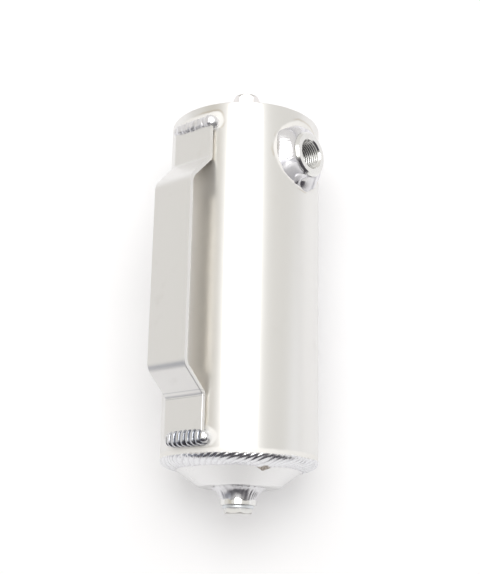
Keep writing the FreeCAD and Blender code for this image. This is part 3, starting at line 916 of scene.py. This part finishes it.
# Painted shade: the lower weld's ripple valleys are painted nearly black-blue.
coil_finish = weld_bead("coil_weld", colour(0.90, 0.91, 0.93), colour(0.13, 0.145, 0.185), 0.16,
                        soot_and_shade_share=0.95)
rough_finish = weld_bead("rough_weld", colour(0.90, 0.90, 0.92), colour(0.62, 0.61, 0.63), 0.4,
                         soot_and_shade_share=0.4)
lower_weld_middle = Vector((strap_high.x, -1.8 * MM, strap_low.z - 0.6 * MM))
lower_weld = lay_run("bracket_lower_weld_bead", lower_weld_middle, strap_weld_high.y - MM, stand=4.2 * MM,
                     reach=4.3 * MM, pulses=9, ripple=0.16, roughen=0.05, drop=0.0)
dress(lower_weld, coil_finish, "tank", "bracket_lower_weld", smooth=60)
upper_weld_middle = Vector((strap_high.x, 0, strap_high.z))
upper_weld = lay_run("bracket_upper_weld_bead", upper_weld_middle, strap_weld_high.y, stand=3.9 * MM,
                     reach=3.4 * MM, pulses=9, ripple=0.06, roughen=0.16, drop=0.3)
dress(upper_weld, rough_finish, "tank", "bracket_upper_weld", smooth=60)

# The washers and the plugs: a flat sealing ring under each hex-headed plug. The plugs are turned from
# hexagon bar, with a threaded shank, and the upper one has a small hole through it.
plug_flats = 14.3 * MM
plug_core = 4.0 * MM
plug_crest = 4.7 * MM
plug_clock = 10
shank_segments = 64
shank_edge = 0.6 * MM
shank_overlap = 1.0 * MM
washer_bore = 5.04 * MM
washer_edge = 0.25 * MM
vent_hole_radius = 1.5 * MM
vent_hole_segments = 48
vent_hole_length = 100 * MM
turning_height = 12 * MM


def washer_sheet():
    """Sheet that the washers are stamped from."""
    bright = colour(0.86, 0.89, 0.92)
    marked = colour(0.78, 0.80, 0.82)
    finish, shader, place = new_finish("washer_sheet")
    marks = place.speckle(260, detail=5.0).step(0.45, 0.8)
    (marks * 0.6).blend(bright, marked).feed(shader, "Base Color")
    (0.45 + marks * 0.12).feed(shader, "Roughness")
    return finish


def plug_bar(name, face, out, face_radius, slope, tone, gloss):
    """Bright hexagon bar; the bevel that the turning tool left round the face is rougher, and painted darker
    as painted shade.
    """
    marked = colour(0.88, 0.865, 0.84)
    chamfer_shade = colour(0.66, 0.65, 0.63)
    finish, shader, place = new_finish(name)
    x, y, z = place.apart()
    fall = (face - z) * out
    off_bevel = fall - (length_of(x - axis_x, y) - face_radius) * math.tan(slope)
    bevel = 1 - off_bevel.maths("ABSOLUTE", off_bevel).step(0.05 * MM, 0.15 * MM)
    bevel = bevel * fall.step(0.02 * MM, 0.1 * MM)
    marks = place.speckle(260, detail=5.0).step(0.45, 0.8)
    metal = (marks * 0.4).blend(tone, marked)
    # Painted shade: the turned bevel round the face is painted darker, and is also rougher.
    bevel.blend(metal, chamfer_shade).feed(shader, "Base Color")
    (gloss + marks * 0.1 + bevel * 0.1).feed(shader, "Roughness")
    place.speckle(900, detail=2.0).bump(0.08, 0.03 * MM).feed(shader, "Normal")
    return finish


washer_finish = washer_sheet()
plug_ends = (("drain", -1, 6.8 * MM, math.radians(30), colour(0.97, 0.97, 0.955), 0.5),
             ("vent", 1, 7.0 * MM, math.radians(60), colour(0.89, 0.865, 0.855), 0.3))
for end_name, out, face_radius, slope, tone, gloss in plug_ends:
    low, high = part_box(f"{end_name}_plug_washer")
    washer = bored(f"{end_name}_washer_ring", (high.x - low.x) / 2, washer_bore,
                   Vector((axis_x, 0, low.z)), Vector((axis_x, 0, high.z)), round_segments)
    round_edges(washer, washer_edge, sharp_ring)
    dress(washer, washer_finish, f"{end_name}_washer", f"{end_name}_plug_washer")

    seat = high.z if out > 0 else low.z
    low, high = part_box(f"{end_name}_plug")
    tip = low.z if out > 0 else high.z
    face = high.z if out > 0 else low.z
    head = add(bpy.ops.mesh.primitive_cylinder_add, f"{end_name}_plug_head", vertices=6,
               radius=plug_flats / math.sqrt(3), depth=abs(face - seat),
               location=(axis_x, 0, (face + seat) / 2),
               rotation=(0, 0, math.radians(90 + out * plug_clock)))
    turning = add(bpy.ops.mesh.primitive_cone_add, "turned_face", vertices=round_segments,
                  depth=turning_height, radius1=face_radius + turning_height / math.tan(slope),
                  radius2=face_radius, location=(axis_x, 0, face - out * turning_height / 2),
                  rotation=(0 if out > 0 else math.pi, 0, 0))
    cut(head, turning, "INTERSECT")
    inner_end = Vector((axis_x, 0, tip))
    outer_end = Vector((axis_x, 0, seat + out * shank_overlap))
    if out > 0:
        hole = add(bpy.ops.mesh.primitive_cylinder_add, "vent_hole", vertices=vent_hole_segments,
                   radius=vent_hole_radius, depth=vent_hole_length, location=(axis_x, 0, face))
        cut(head, hole)
        shank = bored("plug_shank", plug_core, vent_hole_radius, inner_end, outer_end, shank_segments)
    else:
        shank = add(bpy.ops.mesh.primitive_cylinder_add, "plug_shank", vertices=shank_segments,
                    radius=plug_core, depth=(outer_end - inner_end).length,
                    location=(inner_end + outer_end) / 2)
    round_edges(shank, shank_edge,
                lambda edge: sharp_ring(edge) and abs(middle(edge).z - tip) < same_place)
    turns = int(abs(seat - tip) / plug_pitch) - 1
    root = min(tip, seat) + (abs(seat - tip) - turns * plug_pitch) / 2
    wound = thread_ridge("plug_thread", plug_core - thread_overlap, plug_crest, plug_pitch, turns,
                         Matrix.Translation((axis_x, 0, root)))
    join(head, shank, wound)
    bar_finish = plug_bar(f"{end_name}_plug_bar", face, out, face_radius, slope, tone, gloss)
    dress(head, bar_finish, f"{end_name}_plug", f"{end_name}_plug")

# The stage: a white table top that the tank lies on, which stands upright here because the tank does.
# It is only seen from its front, so that the tank can be looked at from behind as well.
view_azimuth = math.radians(-49.476)
view_elevation = math.radians(-15.566)
view_roll = math.radians(1.203)
towards_view = Vector((math.sin(view_azimuth), -math.cos(view_azimuth), 0))
tank_middle = Vector((axis_x, 0, 0))
table_back = tube_radius + 0.8 * MM
table_size = 3


def table_top():
    """White table that keeps its shadows, and is a little lighter where the camera or metal sees it."""
    finish = bpy.data.materials.new("table_top")
    finish.use_nodes = True
    tree = finish.node_tree
    tree.nodes.clear()
    light_path = tree.nodes.new("ShaderNodeLightPath")
    seen = Shade(tree, light_path.outputs["Is Camera Ray"])
    mirrored = Shade(tree, light_path.outputs["Is Glossy Ray"])
    behind = Shade(tree, tree.nodes.new("ShaderNodeNewGeometry").outputs["Backfacing"])
    lit = seen.node("ShaderNodeBsdfDiffuse", {}, {"Color": colour(0.84, 0.84, 0.86)})
    glow = seen.node("ShaderNodeEmission", {},
                     {"Color": colour(1, 1, 1), "Strength": seen * 0.2 + mirrored * 0.08})
    clear = seen.node("ShaderNodeBsdfTransparent", {}, {})
    shown = seen.node("ShaderNodeAddShader", {}, {"Shader": lit, "Shader_001": glow})
    sided = seen.node("ShaderNodeMixShader", {}, {"Fac": behind, "Shader": shown, "Shader_001": clear})
    end = tree.nodes.new("ShaderNodeOutputMaterial")
    tree.links.new(sided.socket, end.inputs["Surface"])
    return finish


bpy.ops.object.select_all(action="DESELECT")
bpy.ops.mesh.primitive_plane_add(size=table_size, location=tank_middle - towards_view * table_back,
                                 rotation=towards_view.to_track_quat("Z", "Y").to_euler())
table = bpy.context.object
table.name = "table_top"
table.data.materials.append(table_top())

# The light: a broad soft box in front of the tank, and a pale room round it that is dark low down, on
# the camera's side. The camera stands where the photograph was taken from.
studio = bpy.data.worlds.new("studio")
bpy.context.scene.world = studio
studio.use_nodes = True
room_tree = studio.node_tree
direction = Shade(room_tree, room_tree.nodes.new("ShaderNodeTexCoord").outputs["Generated"])
light_path = room_tree.nodes.new("ShaderNodeLightPath")
seen = Shade(room_tree, light_path.outputs["Is Camera Ray"])
mirrored = Shade(room_tree, light_path.outputs["Is Glossy Ray"])


def towards(way, inner, outer):
    """1 within one angle of a direction, in degrees, and 0 beyond another."""
    along = direction.node("ShaderNodeVectorMath", {"operation": "DOT_PRODUCT"},
                           {"Vector": direction, "Vector_001": way.normalized()}, output=1)
    return along.step(math.cos(math.radians(outer)), math.cos(math.radians(inner)))


level = Vector((math.cos(view_azimuth), math.sin(view_azimuth), 0))
low_down = 1 - direction.apart()[2].step(-0.36, -0.16)
far_left = towards(-level, 20, 55)
far_right = towards(level, 15, 40)
left_gap = towards(Vector((-0.96, 0.21, 0.28)), 6, 21)
pale_wall = colour(0.75, 0.735, 0.705)
brown_wall = colour(0.53, 0.49, 0.41)
white_wall = colour(0.94, 0.94, 0.95)
dark_corner = colour(0.07, 0.065, 0.075)
blue_corner = colour(0.23, 0.25, 0.31)
room = left_gap.blend(pale_wall, brown_wall)
room = (towards(level, 8, 24) * mirrored).blend(room, white_wall)
shade = far_left.blend(dark_corner, blue_corner)
room = (low_down * (1 - far_right) * (0.2 + 0.8 * mirrored)).blend(room, shade)
seen.blend(room, colour(1, 1, 1)).feed(room_tree.nodes["Background"], "Color")

box_distance = 0.9
box_shift = 0.02
box_tilt = math.radians(13)
box_way = towards_view * math.cos(box_tilt) + Vector((0, 0, math.sin(box_tilt)))
soft_box = bpy.data.lights.new("soft_box", "AREA")
soft_box.shape = "RECTANGLE"
soft_box.size = 0.655
soft_box.size_y = 0.62
soft_box.energy = 3.7
box_lamp = bpy.data.objects.new("soft_box", soft_box)
bpy.context.scene.collection.objects.link(box_lamp)
box_lamp.matrix_world = (Matrix.Translation(tank_middle + box_way * box_distance - level * box_shift)
                         @ box_way.to_track_quat("Z", "Y").to_matrix().to_4x4())

camera_distance = 0.61554
back = towards_view * math.cos(view_elevation) + Vector((0, 0, math.sin(view_elevation)))
upright = back.cross(level)
right = level * math.cos(view_roll) + upright * math.sin(view_roll)
up = upright * math.cos(view_roll) - level * math.sin(view_roll)
camera_data = bpy.data.cameras.new("camera")
camera_data.lens = 65.83
camera_data.shift_x = -0.00433
camera_data.shift_y = 0.01125
camera = bpy.data.objects.new("camera", camera_data)
bpy.context.scene.collection.objects.link(camera)
turned = Matrix((right, up, back)).transposed().to_4x4()
camera.matrix_world = Matrix.Translation(tank_middle + back * camera_distance) @ turned
bpy.context.scene.camera = camera
bpy.context.scene.view_settings.view_transform = "Standard"
